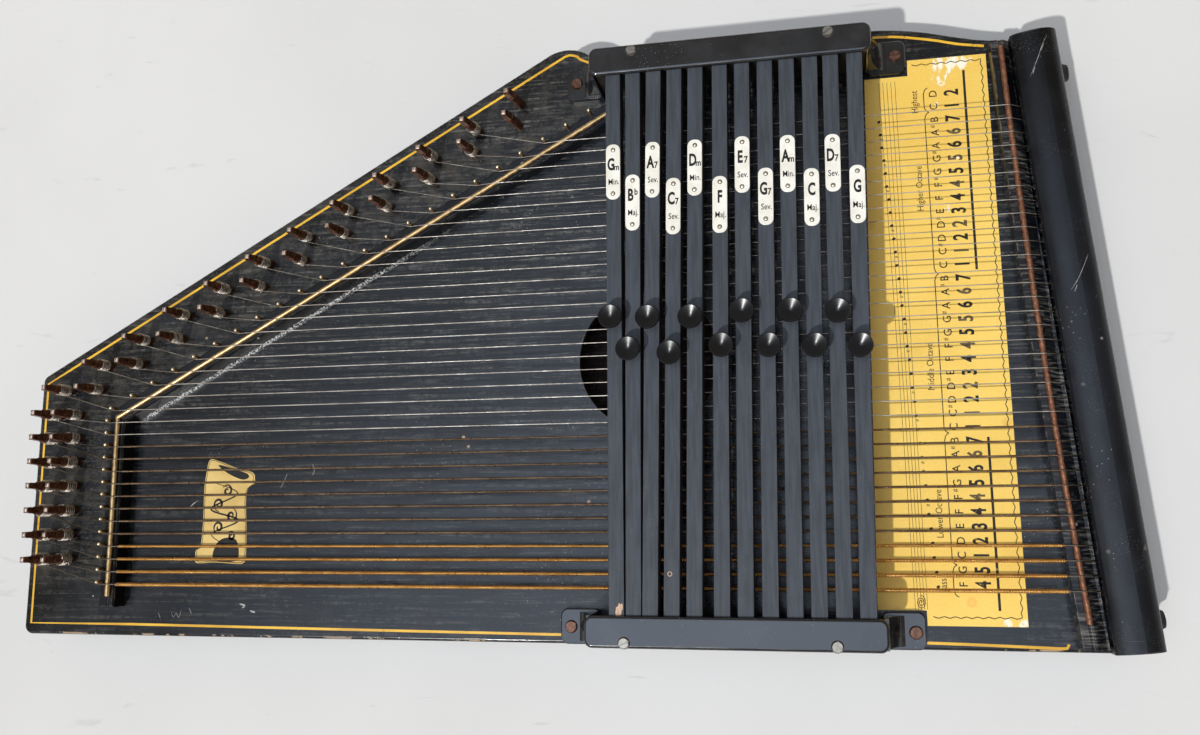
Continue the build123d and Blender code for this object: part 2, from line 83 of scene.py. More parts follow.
def at(x, y, z):
    """Plan position in millimetres to scene metres."""
    return Vector(((x - PLAN_X) * MM, (y - PLAN_Y) * MM, z * MM))


def string_y(i):
    """Plan Y of a string, counted from the bass side."""
    return FIRST_Y + PITCH * i


def around(n):
    """Equal angles around a circle."""
    return [2 * math.pi * k / n for k in range(n)]


# ---------------------------------------------------------------- node helpers
class Mat:
    """A procedural material with one Principled shader; every pattern is in object space, in metres."""

    def __init__(self, name, rough=0.5, metal=0.0, coat=0.0, coat_rough=0.1, spec=0.5):
        self.material = bpy.data.materials.new(name)
        self.material.use_nodes = True
        self.tree = self.material.node_tree
        self.shader = self.tree.nodes["Principled BSDF"]
        self.shader.inputs["Roughness"].default_value = rough
        self.shader.inputs["Metallic"].default_value = metal
        self.shader.inputs["Coat Weight"].default_value = coat
        self.shader.inputs["Coat Roughness"].default_value = coat_rough
        self.shader.inputs["Specular IOR Level"].default_value = spec
        self.point = self.tree.nodes.new("ShaderNodeTexCoord").outputs["Object"]

    def new(self, kind, **values):
        """Shader node with some of its properties set."""
        n = self.tree.nodes.new(kind)
        for k, v in values.items():
            setattr(n, k, v)
        return n

    def put(self, socket, value):
        """Links another socket to this one, or sets it to a plain value."""
        if isinstance(value, bpy.types.NodeSocket):
            self.tree.links.new(value, socket)
        else:
            socket.default_value = value

    def math(self, op, a, b=0.0, clamp=False):
        """One step of arithmetic."""
        n = self.new("ShaderNodeMath", operation=op, use_clamp=clamp)
        self.put(n.inputs[0], a)
        self.put(n.inputs[1], b)
        return n.outputs[0]

    def scaled(self, sx, sy, sz):
        """Object coordinates times a factor along each axis."""
        n = self.new("ShaderNodeVectorMath", operation="MULTIPLY")
        self.put(n.inputs[0], self.point)
        n.inputs[1].default_value = (sx, sy, sz)
        return n.outputs[0]

    def noise(self, scale, detail=3.0, rough=0.55, stretch=None, distort=0.0):
        """Cloudy pattern; a small stretch factor draws it out along that axis."""
        n = self.new("ShaderNodeTexNoise")
        self.put(n.inputs["Vector"], self.scaled(*stretch) if stretch else self.point)
        n.inputs["Scale"].default_value = scale
        n.inputs["Detail"].default_value = detail
        n.inputs["Roughness"].default_value = rough
        n.inputs["Distortion"].default_value = distort
        return n.outputs["Fac"]

    def dots(self, scale, low, high):
        """1 in round spots scattered at random, 0 between them."""
        n = self.new("ShaderNodeTexVoronoi")
        self.put(n.inputs["Vector"], self.point)
        n.inputs["Scale"].default_value = scale
        return self.ramp(n.outputs["Distance"], low, high, 1.0, 0.0)

    def ramp(self, value, low, high, out_low=0.0, out_high=1.0):
        """Smooth step from out_low to out_high as the value goes from low to high."""
        n = self.new("ShaderNodeMapRange", clamp=True)
        n.interpolation_type = "SMOOTHSTEP"
        self.put(n.inputs["Value"], value)
        n.inputs["From Min"].default_value = low
        n.inputs["From Max"].default_value = high
        n.inputs["To Min"].default_value = out_low
        n.inputs["To Max"].default_value = out_high
        return n.outputs["Result"]

    def mix(self, fac, a, b):
        """Colour a where the factor is 0, b where it is 1."""
        n = self.new("ShaderNodeMix", data_type="RGBA")
        self.put(n.inputs["Factor"], fac)
        for socket, v in ((n.inputs[6], a), (n.inputs[7], b)):
            self.put(socket, v if isinstance(v, bpy.types.NodeSocket) else (*v, 1.0))
        return n.outputs[2]

    def axis(self, letter):
        """One object coordinate, in metres."""
        n = self.new("ShaderNodeSeparateXYZ")
        self.put(n.inputs[0], self.point)
        return n.outputs[letter]

    def facing(self, letter):
        """How far the surface faces along one axis."""
        n = self.new("ShaderNodeSeparateXYZ")
        self.put(n.inputs[0], self.new("ShaderNodeNewGeometry").outputs["Normal"])
        return n.outputs[letter]

    def edges(self, radius):
        """1 near sharp edges: where a rounded normal leaves the real one."""
        b = self.new("ShaderNodeBevel", samples=4)
        b.inputs["Radius"].default_value = radius
        d = self.new("ShaderNodeVectorMath", operation="DOT_PRODUCT")
        self.put(d.inputs[0], b.outputs[0])
        self.put(d.inputs[1], self.new("ShaderNodeNewGeometry").outputs["Normal"])
        return self.math("SUBTRACT", 1.0, d.outputs["Value"], clamp=True)

    def near(self, x, y, radius, soft):
        """1 inside a plan circle given in millimetres."""
        n = self.new("ShaderNodeVectorMath", operation="SUBTRACT")
        self.put(n.inputs[0], self.scaled(1, 1, 0))
        p = at(x, y, 0)
        n.inputs[1].default_value = (p.x, p.y, 0)
        d = self.new("ShaderNodeVectorMath", operation="LENGTH")
        self.put(d.inputs[0], n.outputs[0])
        return self.ramp(d.outputs["Value"], (radius - soft) * MM, (radius + soft) * MM, 1.0, 0.0)

    def color(self, value):
        if not isinstance(value, bpy.types.NodeSocket):
            value = (*value, 1.0)
        self.put(self.shader.inputs["Base Color"], value)

    def rough(self, value):
        self.put(self.shader.inputs["Roughness"], value)

    def metal(self, value):
        self.put(self.shader.inputs["Metallic"], value)

    def bump(self, *layers):
        """Stacked height layers: (height, distance in metres, strength)."""
        last = None
        for height, distance, strength in layers:
            n = self.new("ShaderNodeBump")
            self.put(n.inputs["Height"], height)
            n.inputs["Distance"].default_value = distance
            n.inputs["Strength"].default_value = strength
            if last is not None:
                self.put(n.inputs["Normal"], last)
            last = n.outputs["Normal"]
        self.put(self.shader.inputs["Normal"], last)


def over(m, a, b):
    """The larger of two masks."""
    return m.math("MAXIMUM", a, b)


def both(m, a, b):
    """Two masks multiplied."""
    return m.math("MULTIPLY", a, b)


# ---------------------------------------------------------------- materials
WOUND_PART = (64.2, 529.2)   # plan X where the windings start and end


def dust_and_scratches(m, dust):
    """Masks of fine dust specks and of thin hairline scratches."""
    specks = both(m, m.dots(420, 0.07, 0.13), m.ramp(m.noise(26, 4), 0.50, 0.72))
    fine = both(m, m.dots(1400, 0.10, 0.2), m.ramp(m.noise(60, 3), 0.5, 0.7))
    wave = m.noise(60, 2, 0.5, (0.22, 2.6, 1), 1.2)
    line = both(m, m.ramp(wave, 0.497, 0.500), m.ramp(wave, 0.500, 0.503, 1.0, 0.0))
    hair = both(m, line, m.ramp(m.noise(17, 3), 0.58, 0.66))
    return m.math("MULTIPLY", over(m, specks, both(m, fine, 0.6)), dust), hair


def slant_distance(m):
    """Distance behind the slanted bridge wire, measured along Y, in metres."""
    run = m.math("SUBTRACT", m.axis("X"), at(WIRE_X, 0, 0).x)
    rise = m.math("SUBTRACT", m.axis("Y"), at(0, CORNER_Y, 0).y)
    return m.math("SUBTRACT", rise, m.math("MULTIPLY", run, math.tan(SLANT)))


def fade_x(m, x0, x1, out_low=0.0, out_high=1.0):
    """Smooth step along plan X, given in millimetres."""
    return m.ramp(m.axis("X"), at(x0, 0, 0).x, at(x1, 0, 0).x, out_low, out_high)


def fade_y(m, y0, y1, out_low=0.0, out_high=1.0):
    """Smooth step along plan Y, given in millimetres."""
    return m.ramp(m.axis("Y"), at(0, y0, 0).y, at(0, y1, 0).y, out_low, out_high)


def dirty_black(m, up):
    """Black paint with brown dirt among the pins and grey dust combed along the strings."""
    clean = m.mix(m.ramp(m.noise(9, 4, 0.6), 0.35, 0.7), (0.002, 0.0025, 0.0035), (0.006, 0.0075, 0.0110))
    inside = both(m, up, m.ramp(m.axis("Z"), 0.0045, 0.006, 1.0, 0.0))
    black = m.mix(inside, clean, (0.020, 0.009, 0.006))
    pins = both(m, m.ramp(slant_distance(m), -0.004, 0.004), fade_x(m, 316, 322, 1.0, 0.0))
    pins = over(m, pins, both(m, fade_x(m, 50, 56, 1.0, 0.0), fade_y(m, 20, 34)))
    film = m.ramp(m.noise(75, 6, 0.7), 0.44, 0.74)
    grit = m.ramp(m.noise(520, 4, 0.7), 0.50, 0.66)
    dirt = both(m, pins, over(m, film, both(m, grit, 0.7)))
    black = m.mix(both(m, dirt, 0.55), black, (0.085, 0.074, 0.055))
    combed = m.ramp(m.noise(190, 6, 0.72, (0.12, 2.6, 1.0)), 0.47, 0.70)
    combed = both(m, combed, m.ramp(m.axis("Y"), -0.06, 0.06, 0.50, 1.0))
    combed = both(m, combed, m.ramp(m.noise(330, 4, 0.7), 0.34, 0.62))
    return m.mix(both(m, combed, 0.85), black, (0.150, 0.144, 0.126)), inside


def lint_and_glint_mask(m):
    """Pale band along the foot of the slanted rail: lint, with a painted glint of sunlight thrown onto the
    board by the rail's glossy wall.
    """
    foot = m.math("MULTIPLY", slant_distance(m), -math.cos(SLANT))
    band = both(m, m.ramp(foot, 0.0028, 0.0036), m.ramp(foot, 0.0044, 0.0062, 1.0, 0.0))
    reach = both(m, fade_x(m, 63, 70), fade_x(m, 185, 250, 1.0, 0.0))
    return both(m, both(m, band, reach), m.ramp(m.noise(1100, 4, 0.75), 0.46, 0.60))


def chip_mask(m, up):
    """Worn paint: the edges all round, most on the bass side and on the crest by the treble holder."""
    edge = m.ramp(m.edges(0.0018), 0.03, 0.16)
    crest = both(m, fade_x(m, 455, 470), fade_y(m, 283.5, 287.0))
    zone = over(m, over(m, fade_y(m, 1.2, 2.4, 1.0, 0.0), crest), 0.22)
    patch = m.ramp(both(m, zone, m.ramp(m.noise(22, 3), 0.35, 0.6)), 0.1, 0.5)
    chip = both(m, both(m, edge, m.ramp(m.noise(95, 5, 0.7), 0.47, 0.56)), patch)
    rim = both(m, fade_y(m, 0.4, 1.7, 1.0, 0.0), up)
    return over(m, chip, both(m, rim, m.ramp(m.noise(70, 5, 0.7), 0.52, 0.57)))


def lacquer():
    """Worn black lacquer of the box."""
    m = Mat("black_lacquer", rough=0.34, spec=0.40)
    dust, hair = dust_and_scratches(m, 0.75)
    up = m.ramp(m.facing("Z"), 0.5, 0.9)
    black, inside = dirty_black(m, up)
    chip = chip_mask(m, up)
    nick = both(m, m.dots(75, 0.05, 0.085), m.ramp(m.noise(30, 3), 0.56, 0.64))
    wood = m.mix(m.noise(160, 4), (0.34, 0.22, 0.13), (0.66, 0.50, 0.34))
    col = m.mix(dust, black, (0.40, 0.38, 0.34))
    # pale band at the slanted rail's foot: lint and a painted glint of reflected sunlight
    col = m.mix(lint_and_glint_mask(m), col, (0.78, 0.78, 0.76))
    col = m.mix(both(m, hair, 0.55), col, (0.34, 0.33, 0.31))
    col = m.mix(both(m, nick, 0.75), col, wood)
    m.color(m.mix(chip, col, wood))
    rough = m.ramp(m.noise(40, 4, 0.6), 0.3, 0.75, 0.16, 0.34)
    dull = over(m, over(m, chip, inside), dust)
    m.rough(over(m, rough, m.math("MULTIPLY", dull, 0.85)))
    grain = m.noise(70, 4, 0.6, (1.0, 14.0, 1.0))
    whole = m.math("SUBTRACT", 1.0, chip)
    m.bump((grain, 0.00010, 0.35), (m.noise(160, 3), 0.00006, 0.35), (whole, 0.0003, 0.6))
    return m.material


def trim(name, worn):
    """Satin black rails and end cover; the ridge under the strings also carries grey wear streaks."""
    m = Mat(name, rough=0.4, spec=0.27)
    dust, hair = dust_and_scratches(m, 0.8)
    black = m.mix(m.ramp(m.noise(12, 4), 0.35, 0.7), (0.002, 0.0024, 0.0034), (0.007, 0.0085, 0.0125))
    if worn:
        streak = m.ramp(m.noise(150, 4, 0.6, (0.5, 7.0, 1.0)), 0.46, 0.66)
        cloud = m.ramp(m.noise(45, 4), 0.35, 0.65)
        black = m.mix(both(m, both(m, streak, cloud), 0.80), black, (0.16, 0.15, 0.135))
    edge = m.ramp(m.edges(0.0012), 0.02, 0.2)
    chip = both(m, edge, m.ramp(m.noise(120, 5, 0.7), 0.50, 0.60))
    pits = both(m, m.dots(150, 0.10, 0.17), m.ramp(m.noise(38, 3), 0.55, 0.65))
    col = m.mix(dust, black, (0.36, 0.35, 0.33))
    col = m.mix(both(m, hair, 0.5), col, (0.30, 0.30, 0.30))
    col = m.mix(both(m, pits, 0.55), col, (0.42, 0.40, 0.36))
    col = m.mix(both(m, chip, 0.55 if worn else 0.35), col, (0.40, 0.34, 0.27))
    m.color(col)
    rough = m.ramp(m.noise(50, 4), 0.3, 0.75, 0.24, 0.44)
    m.rough(over(m, rough, m.math("MULTIPLY", over(m, chip, dust), 0.7)))
    m.bump((m.noise(300, 4, 0.6), 0.00006, 0.4), (m.noise(25, 3), 0.0004, 0.25))
    return m.material


def metal(name, bright, dull, rough, stretch=(1, 1, 1), scale=300, rust=None, tip=None):
    """Aged metal in two tones, with rust spots and a lighter tip (low Z, high Z, colour): rubbed metal,
    which on the tuning pins also stands in for a painted highlight.
    """
    m = Mat(name, rough=rough, metal=1.0)
    col = m.mix(m.ramp(m.noise(scale, 5, 0.65, stretch), 0.35, 0.65), dull, bright)
    metallic = 1.0
    if rust is not None:
        spots = m.ramp(m.noise(scale * 1.7, 4, 0.7), 0.44, 0.6)
        col = m.mix(spots, col, rust)
        metallic = m.math("SUBTRACT", 1.0, both(m, spots, 0.75))
    if tip is not None:
        low, high, shine = tip
        rubbed = m.ramp(m.noise(scale, 3), 0.2, 0.45)
        lit_rubbed_top = both(m, m.ramp(m.axis("Z"), low * MM, high * MM), rubbed)
        col = m.mix(lit_rubbed_top, col, shine)
        metallic = over(m, metallic, lit_rubbed_top) if rust is not None else metallic
    m.color(col)
    m.metal(metallic)
    m.rough(m.ramp(m.noise(scale * 2, 3), 0.3, 0.7, rough * 0.7, min(1.0, rough * 1.4)))
    m.bump((m.noise(scale * 4, 3, 0.6, stretch), 0.00005, 0.5))
    return m.material


def winding(name, bright, dull, pitch):
    """Wound string: a fine round-wire pitch on the wound part, bare steel core outside it."""
    m = Mat(name, rough=0.35, metal=1.0)
    x = m.axis("X")
    start, end = WOUND_PART
    wound = both(m, fade_x(m, start - 0.2, start + 0.2), fade_x(m, end - 0.2, end + 0.2, 1.0, 0.0))
    turns = m.math("ABSOLUTE", m.math("SINE", m.math("MULTIPLY", x, math.pi / (pitch * MM))))
    tone = m.mix(m.ramp(m.noise(90, 4, 0.6, (1, 4, 4)), 0.3, 0.7), dull, bright)
    # painted shade in the grooves between the turns
    tone = m.mix(m.ramp(turns, 0.0, 0.45, 0.65, 0.0), tone, (0.03, 0.015, 0.008))
    m.color(m.mix(wound, (0.20, 0.17, 0.14), tone))
    m.rough(m.ramp(m.noise(400, 3), 0.3, 0.7, 0.25, 0.45))
    m.bump((both(m, turns, wound), pitch * MM * 0.4, 0.8))
    return m.material


def paper():
    """Yellowed chart paper with stains and torn spots."""
    m = Mat("chart_paper", rough=0.62, spec=0.35)
    base = m.mix(m.ramp(m.noise(14, 4, 0.6), 0.3, 0.7), (0.80, 0.51, 0.085), (0.90, 0.61, 0.125))
    fibre = m.noise(900, 4, 0.7)
    base = m.mix(both(m, m.ramp(fibre, 0.45, 0.75), 0.28), base, (0.96, 0.76, 0.34))
    stain = both(m, m.dots(60, 0.10, 0.2), m.ramp(m.noise(20, 3), 0.52, 0.62))
    base = m.mix(both(m, stain, 0.35), base, (0.55, 0.27, 0.05))
    edge_grime = m.ramp(m.noise(45, 5, 0.7), 0.55, 0.8)
    base = m.mix(both(m, edge_grime, 0.25), base, (0.55, 0.33, 0.08))
    tear = m.near(494, 277, 8, 4)
    for x, y, r, soft in ((507, 278, 5, 3), (489, 269, 4, 3), (486.7, 12, 1.8, 1.4), (492, 12, 2.0, 1.6),
                          (505.8, 12.4, 2.0, 1.6), (512, 12, 2.2, 1.6), (488.8, 204.6, 1.9, 1.2),
                          (487, 256.8, 1.1, 0.8), (495.5, 229.5, 1.0, 0.7)):
        tear = over(m, tear, m.near(x, y, r, soft))
    bits = m.ramp(m.noise(190, 5, 0.65, (2.2, 0.9, 1)), 0.46, 0.52)
    torn = m.ramp(both(m, tear, m.ramp(m.noise(60, 4), 0.30, 0.60)), 0.35, 0.5)
    torn = both(m, torn, bits)
    ring = both(m, m.near(490.6, 21.4, 2.2, 0.7), m.ramp(m.near(490.6, 21.4, 1.2, 0.7), 0, 1, 1.0, 0.45))
    base = m.mix(both(m, ring, 0.35), base, (0.80, 0.26, 0.06))
    m.color(m.mix(torn, base, (0.90, 0.83, 0.66)))
    m.rough(m.ramp(torn, 0, 1, 0.5, 0.85))
    m.bump((fibre, 0.00003, 0.5), (m.math("SUBTRACT", 1.0, torn), 0.00012, 0.5))
    return m.material


def ink(name, color, fade):
    """Printing ink, partly rubbed down to the paper."""
    m = Mat(name, rough=0.6, spec=0.3)
    worn = m.ramp(m.noise(260, 4, 0.7), 0.60, 0.74)
    m.color(m.mix(both(m, worn, fade), color, (0.62, 0.42, 0.13)))
    m.bump((m.noise(900, 2), 0.00002, 0.3))
    return m.material


def bar_paint():
    """Dull blue-black paint over wood grain that runs along the bars."""
    m = Mat("bar_wood", rough=0.5, spec=0.24)
    grain = m.noise(55, 5, 0.6, (12.0, 0.8, 12.0))
    speck = both(m, m.dots(1500, 0.12, 0.22), m.ramp(m.noise(80, 3), 0.5, 0.65))
    col = m.mix(m.ramp(grain, 0.35, 0.65), (0.036, 0.041, 0.051), (0.054, 0.061, 0.075))
    col = m.mix(both(m, speck, 0.35), col, (0.30, 0.29, 0.27))
    rub = both(m, m.ramp(m.edges(0.0007), 0.02, 0.2), m.ramp(m.noise(90, 4), 0.54, 0.66))
    col = m.mix(both(m, rub, 0.5), col, (0.16, 0.15, 0.14))
    m.color(col)
    m.rough(m.ramp(m.noise(130, 4), 0.3, 0.7, 0.38, 0.56))
    m.bump((grain, 0.00007, 0.5), (m.noise(1300, 3), 0.00004, 0.5))
    return m.material


def holder_enamel():
    """Glossy black enamel with smears and dust."""
    m = Mat("holder_gloss", rough=0.2, coat=0.35, coat_rough=0.08)
    specks = both(m, m.dots(700, 0.07, 0.13), m.ramp(m.noise(50, 3), 0.5, 0.64))
    smear = m.ramp(m.noise(38, 5, 0.6), 0.45, 0.75)
    col = m.mix(m.ramp(m.noise(16, 3), 0.3, 0.7), (0.0045, 0.005, 0.0065), (0.009, 0.0105, 0.014))
    col = m.mix(both(m, smear, 0.175), col, (0.08, 0.08, 0.085))
    m.color(m.mix(both(m, specks, 0.7), col, (0.42, 0.41, 0.38)))
    m.rough(m.ramp(m.noise(70, 4), 0.3, 0.75, 0.14, 0.3))
    m.bump((m.noise(40, 2), 0.00015, 0.25), (m.noise(900, 3), 0.00002, 0.3))
    return m.material


def button_gloss():
    """Turned and polished dish with a soft shine and a little dust."""
    m = Mat("button_black", rough=0.3, spec=0.45)
    specks = both(m, m.dots(900, 0.07, 0.13), m.ramp(m.noise(60, 3), 0.5, 0.64))
    col = m.mix(m.ramp(m.noise(30, 3), 0.3, 0.7), (0.0012, 0.0018, 0.003), (0.004, 0.0055, 0.009))
    m.color(m.mix(both(m, specks, 0.5), col, (0.30, 0.29, 0.27)))
    m.rough(m.ramp(m.noise(90, 4), 0.3, 0.75, 0.26, 0.34))
    m.bump((m.noise(900, 3), 0.00002, 0.3))
    return m.material


def plain(name, low, high, rough, scale, stretch=None, bump=0.0001):
    """Two tones of one noise, with a bump of the same pattern."""
    m = Mat(name, rough=rough)
    tone = m.noise(scale, 5, 0.6, stretch)
    m.color(m.mix(m.ramp(tone, 0.35, 0.65), low, high))
    m.rough(m.ramp(m.noise(scale * 2, 3), 0.3, 0.7, rough * 0.8, min(1.0, rough * 1.15)))
    m.bump((tone, bump, 0.6), (m.noise(scale * 6, 3), bump * 0.3, 0.4))
    return m.material


def gold_paint():
    """Gold pinstripe paint with worn gaps."""
    m = Mat("gold_pinstripe", rough=0.42, spec=0.5)
    worn = m.ramp(m.noise(240, 5, 0.7), 0.60, 0.70)
    col = m.mix(m.ramp(m.noise(30, 3), 0.35, 0.65), (0.62, 0.33, 0.012), (0.82, 0.48, 0.03))
    m.color(m.mix(both(m, worn, 0.7), col, (0.03, 0.022, 0.012)))
    m.bump((m.noise(600, 3), 0.00002, 0.4))
    return m.material


def floor_material():
    """Plain pale floor with a few faint marks."""
    m = Mat("pale_floor", rough=0.75, spec=0.3)
    col = m.mix(m.ramp(m.noise(3.5, 4), 0.3, 0.7), (0.615, 0.61, 0.60), (0.665, 0.66, 0.65))
    mark = both(m, m.ramp(m.noise(36, 3, 0.5, (0.6, 2.0, 1), 1.5), 0.66, 0.74), 0.25)
    m.color(m.mix(mark, col, (0.38, 0.385, 0.40)))
    m.bump((m.noise(220, 5, 0.65), 0.0003, 0.35))
    return m.material


FINISHES = {
    "black_lacquer": lacquer(),
    "black_trim": trim("black_trim", False),
    "ridge_trim": trim("black_trim_worn", True),
    "steel_wire": metal("steel_wire", (0.60, 0.43, 0.22), (0.40, 0.27, 0.13), 0.42, scale=260),
    "rusty_rod": metal("rusty_rod", (0.40, 0.20, 0.12), (0.20, 0.085, 0.05), 0.52, scale=340,
                       rust=(0.14, 0.055, 0.03)),
    # the lighter pin tops are partly a painted highlight
    "pin_steel": metal("pin_steel", (0.26, 0.13, 0.075), (0.10, 0.042, 0.024), 0.36, scale=420,
                       rust=(0.10, 0.034, 0.016), tip=(TOP + 19.35, TOP + 19.9, (0.66, 0.55, 0.47))),
    "brass_nail": metal("brass_nail", (0.72, 0.52, 0.27), (0.33, 0.2, 0.09), 0.36, scale=700,
                        tip=(TOP + 13.2, TOP + 14.2, (0.85, 0.72, 0.5))),
    "copper_winding": winding("copper_winding", (0.88, 0.50, 0.16), (0.56, 0.27, 0.07), 0.62),
    "bronze_winding": winding("bronze_winding", (0.38, 0.27, 0.18), (0.19, 0.125, 0.08), 0.42),
    "string_steel": metal("string_steel", (0.50, 0.47, 0.43), (0.27, 0.24, 0.21), 0.42, (0.3, 1, 1), 240),
    "coil_steel": metal("coil_steel", (0.62, 0.58, 0.52), (0.26, 0.21, 0.16), 0.34, scale=500),
    "chart_paper": paper(),
    "rubber_feet": plain("rubber_feet", (0.012, 0.012, 0.012), (0.03, 0.03, 0.03), 0.75, 300),
    "comb_wood": plain("comb_wood", (0.012, 0.010, 0.009), (0.03, 0.024, 0.02), 0.6, 60, (1, 1, 8)),
    "holder_gloss": holder_enamel(),
    "screw_steel": metal("screw_steel", (0.20, 0.105, 0.07), (0.10, 0.05, 0.032), 0.42, scale=500,
                         rust=(0.10, 0.045, 0.03), tip=(TOP + 29.0, TOP + 29.6, (0.27, 0.25, 0.22))),
    "bar_wood": bar_paint(),
    "felt": plain("felt", (0.20, 0.045, 0.035), (0.32, 0.085, 0.06), 0.95, 700, None, 0.0003),
    "button_black": button_gloss(),
    "chart_ink": ink("chart_ink", (0.018, 0.015, 0.012), 0.9),
    "pale_ink": ink("pale_ink", (0.12, 0.085, 0.04), 0.8),
    "label_ink": ink("label_ink", (0.012, 0.012, 0.012), 0.0),
    "label_plate": plain("label_plate", (0.74, 0.71, 0.62), (0.84, 0.82, 0.75), 0.32, 120, None, 0.00004),
    "label_rivet": metal("label_rivet", (0.86, 0.82, 0.70), (0.52, 0.47, 0.36), 0.42, scale=800),
    "gold": gold_paint(),
    "decal_paper": plain("decal_paper", (0.60, 0.40, 0.115), (0.74, 0.53, 0.18), 0.4, 50, None, 0.00002),
    "bare_wood": plain("bare_wood", (0.45, 0.27, 0.17), (0.66, 0.46, 0.32), 0.7, 300, (1, 0.3, 1), 0.0001),
    "scratch": plain("scratch", (0.20, 0.195, 0.19), (0.42, 0.41, 0.39), 0.6, 400, None, 0.00003),
}

# every CAD node takes the material of its record slot; the ridge under the strings is more worn
for row in frame["record"]["subparts"]:
    node = NODES[row["node"]]
    key = "ridge_trim" if row["node"] == "right_bridge_rail" else row["material_slot"]
    node.data.materials.clear()
    node.data.materials.append(FINISHES[key])
    for face in node.data.polygons:
        face.material_index = 0


# ---------------------------------------------------------------- mesh helpers
def add(name, mesh, material, body=ROOT):
    """Makes an object from a mesh in scene metres, gives it a finish and rides it on a body."""
    obj = bpy.data.objects.new(name, mesh)
    bpy.context.scene.collection.objects.link(obj)
    mesh.materials.clear()
    mesh.materials.append(FINISHES[material])
    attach(obj, body)
    return obj


def smooth(mesh):
    """Rounded shading over all faces."""
    for p in mesh.polygons:
        p.use_smooth = True


def from_bmesh(bm, name):
    """Mesh with its faces turned outward."""
    bmesh.ops.recalc_face_normals(bm, faces=bm.faces[:])
    mesh = bpy.data.meshes.new(name)
    bm.to_mesh(mesh)
    bm.free()
    return mesh


def ribbon(bm, points, width, z, thick=THICK_INK, closed=False, taper=False):
    """Flat painted line of a real, very small thickness along plan points (mm)."""
    n = len(points)
    rows = []
    for i, (x, y) in enumerate(points):
        a = points[(i - 1) % n] if closed or i > 0 else points[i]
        b = points[(i + 1) % n] if closed or i < n - 1 else points[i]
        d = Vector((b[0] - a[0], b[1] - a[1]))
        d = d.normalized() if d.length > 0 else Vector((1, 0))
        half = width / 2
        if taper:
            half *= 0.25 + 0.75 * math.sin(math.pi * (i + 0.5) / n)
        side = Vector((-d.y, d.x)) * half
        rows.append([bm.verts.new(at(x + side.x * s, y + side.y * s, z + h))
                     for s, h in ((-1, 0), (-1, thick), (1, thick), (1, 0))])
    last = n if closed else n - 1
    for i in range(last):
        a, b = rows[i], rows[(i + 1) % n]
        for k in range(4):
            bm.faces.new((a[k], a[(k + 1) % 4], b[(k + 1) % 4], b[k]))
    if not closed:
        bm.faces.new(rows[0])
        bm.faces.new(rows[-1][::-1])


def resample(points, step, closed=False):
    """Smooth line through plan points (Catmull-Rom), with about one point per step."""
    if closed:
        known = points[-1:] + points + points[:2]
    else:
        known = points[:1] + points + points[-1:]
    known = [Vector(p) for p in known]
    out = []
    for p0, p1, p2, p3 in zip(known, known[1:], known[2:], known[3:]):
        count = max(2, int((p2 - p1).length / step))
        for k in range(count):
            t = k / count
            q = 0.5 * ((2 * p1) + (p2 - p0) * t + (2 * p0 - 5 * p1 + 4 * p2 - p3) * t * t
                       + (3 * p1 - p0 - 3 * p2 + p3) * t * t * t)
            out.append((q.x, q.y))
    if not closed:
        out.append(points[-1])
    return out


def plate(bm, outline, z, thick):
    """Thin solid patch with the given plan outline (mm)."""
    low = [bm.verts.new(at(x, y, z)) for x, y in outline]
    high = [bm.verts.new(at(x, y, z + thick)) for x, y in outline]
    n = len(outline)
    bm.faces.new(high)
    bm.faces.new(low[::-1])
    for i in range(n):
        bm.faces.new((low[i], low[(i + 1) % n], high[(i + 1) % n], high[i]))


def text_mesh(body, size, thick, squeeze, fat):
    """Mesh of one printed word, centred on the origin; sizes in millimetres, the mesh in metres."""
    curve = bpy.data.curves.new("text_source", "FONT")
    curve.body = body
    curve.size = size * MM
    curve.align_x = "CENTER"
    curve.align_y = "CENTER"
    curve.offset = fat * MM
    curve.extrude = thick * MM / 2
    curve.resolution_u = 3
    obj = bpy.data.objects.new("text_source", curve)
    bpy.context.scene.collection.objects.link(obj)
    bpy.context.view_layer.update()
    ready = obj.evaluated_get(bpy.context.evaluated_depsgraph_get())
    mesh = bpy.data.meshes.new_from_object(ready)
    bpy.data.objects.remove(obj)
    bpy.data.curves.remove(curve)
    mesh.transform(Matrix.Diagonal((squeeze, 1.0, 1.0, 1.0)))
    return mesh


def stamp(bm, mesh, matrix):
    """Copies a mesh into a bmesh through a matrix."""
    mesh.transform(matrix)
    bm.from_mesh(mesh)
    bpy.data.meshes.remove(mesh)


# ---------------------------------------------------------------- pinstripe
LINE_Z = TOP + GAP
TURN = (4.4, 136.2)          # where the line leaves the tuning end for the slanted side
CREST = (302.0, 299.8)       # where it leaves the slanted side
SLANT_STEPS = 20
bass_side = [(527, 1.75), (472, 3.2), (400, 3.6), (300, 4.2), (180, 5.0), (65, 5.9)]
treble_side = [(304.5, 300.4), (308.5, 299.2), (314.6, 295.3), (345, 289.5), (385, 288.6), (425, 291.2),
               (460.7, 293.9), (483.4, 290.5), (498, 286.6), (510, 284.4)]
stripe = [(530.5, 3.6), (529.5, 1.9)] + resample(bass_side, 12) + [(4.2, 5.8), TURN]
for k in range(1, SLANT_STEPS + 1):
    share = k / SLANT_STEPS
    stripe.append((TURN[0] + (CREST[0] - TURN[0]) * share, TURN[1] + (CREST[1] - TURN[1]) * share))
stripe += resample(treble_side, 5)
bm = bmesh.new()
ribbon(bm, stripe, 1.25, LINE_Z)
add("pinstripe", from_bmesh(bm, "pinstripe"), "gold")

